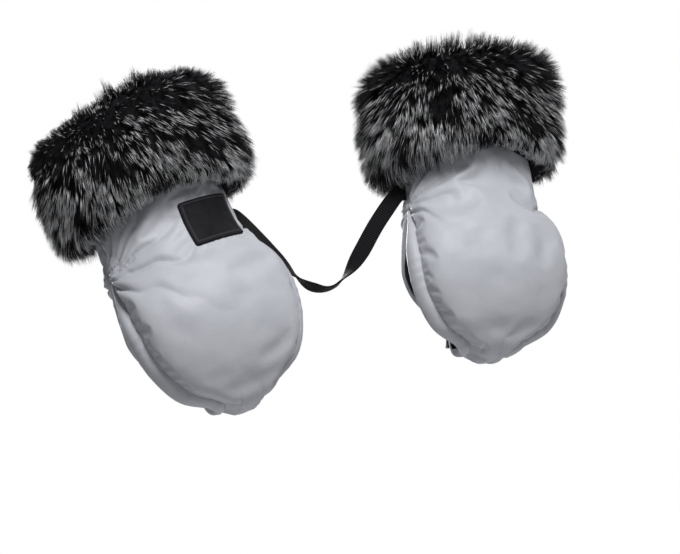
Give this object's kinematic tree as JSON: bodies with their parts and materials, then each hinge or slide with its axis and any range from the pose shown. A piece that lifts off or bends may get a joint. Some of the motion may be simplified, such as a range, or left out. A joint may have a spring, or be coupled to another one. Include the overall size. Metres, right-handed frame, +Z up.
{
  "type": "stroller hand muff",
  "caption": "Pair of padded mitts with turned-back fur cuffs that close round a pram handlebar with press-stud back flaps, joined by a webbing strap.",
  "frame": {"origin": "on the handlebar's axis, midway between the two mitts", "axes": "+X along the handlebar towards the right mitt, -Y towards whoever faces the pram's front of the bar, +Z up along the mitts towards the cuffs"},
  "size_m": [0.517, 0.15, 0.2955],
  "materials": {
    "shell_cloth": "smooth woven nylon, slight sheen",
    "wadding": "soft white fibre filling",
    "lining_cloth": "brushed knit, matte",
    "fur": "long-pile imitation fur, black roots and grey tips",
    "knit_backing": "knitted backing cloth, matte",
    "webbing": "ribbed polyester webbing",
    "patch_rubber": "moulded soft rubber",
    "snap_metal": "black satin"
  },
  "bodies": {
    "strap": {"connecting_strap": "webbing"},
    "left_mitt": {"left_front_shell": "shell_cloth", "left_front_padding": "wadding", "left_front_lining": "lining_cloth", "left_gusset_inner": "shell_cloth", "left_gusset_outer": "shell_cloth", "left_back_shell": "shell_cloth", "left_back_padding": "wadding", "left_back_lining": "lining_cloth", "left_cuff_fur": "fur", "left_cuff_backing": "knit_backing", "left_snap_stud_1": "snap_metal", "left_snap_stud_2": "snap_metal", "left_snap_post_1": "snap_metal", "left_snap_post_2": "snap_metal", "left_patch": "patch_rubber"},
    "left_flap": {"left_flap_shell": "shell_cloth", "left_flap_padding": "wadding", "left_flap_lining": "lining_cloth", "left_flap_hem_inner": "shell_cloth", "left_flap_hem_outer": "shell_cloth", "left_snap_cap_1": "snap_metal", "left_snap_cap_2": "snap_metal", "left_snap_socket_1": "snap_metal", "left_snap_socket_2": "snap_metal"},
    "right_mitt": {"right_front_shell": "shell_cloth", "right_front_padding": "wadding", "right_front_lining": "lining_cloth", "right_gusset_inner": "shell_cloth", "right_gusset_outer": "shell_cloth", "right_back_shell": "shell_cloth", "right_back_padding": "wadding", "right_back_lining": "lining_cloth", "right_cuff_fur": "fur", "right_cuff_backing": "knit_backing", "right_snap_stud_1": "snap_metal", "right_snap_stud_2": "snap_metal", "right_snap_post_1": "snap_metal", "right_snap_post_2": "snap_metal"},
    "right_flap": {"right_flap_shell": "shell_cloth", "right_flap_padding": "wadding", "right_flap_lining": "lining_cloth", "right_flap_hem_inner": "shell_cloth", "right_flap_hem_outer": "shell_cloth", "right_snap_cap_1": "snap_metal", "right_snap_cap_2": "snap_metal", "right_snap_socket_1": "snap_metal", "right_snap_socket_2": "snap_metal"}
  },
  "joints": [
    {"name": "left_mitt_swing", "type": "hinge", "parent": "strap", "child": "left_mitt", "pos_m": [-0.132, 0, 0], "axis": [0.9816, 0, 0.1908], "range_deg": [-40, 40]},
    {"name": "left_flap_fold", "type": "hinge", "parent": "left_mitt", "child": "left_flap", "pos_m": [-0.1423, 0.042, 0.05301], "axis": [0.9816, 0, 0.1908], "range_deg": [0, 95]},
    {"name": "right_mitt_swing", "type": "hinge", "parent": "strap", "child": "right_mitt", "pos_m": [0.132, 0, 0], "axis": [0.9816, 0, -0.1908], "range_deg": [-40, 40]},
    {"name": "right_flap_fold", "type": "hinge", "parent": "right_mitt", "child": "right_flap", "pos_m": [0.1423, 0.042, 0.05301], "axis": [0.9816, 0, -0.1908], "range_deg": [0, 95]}
  ]
}
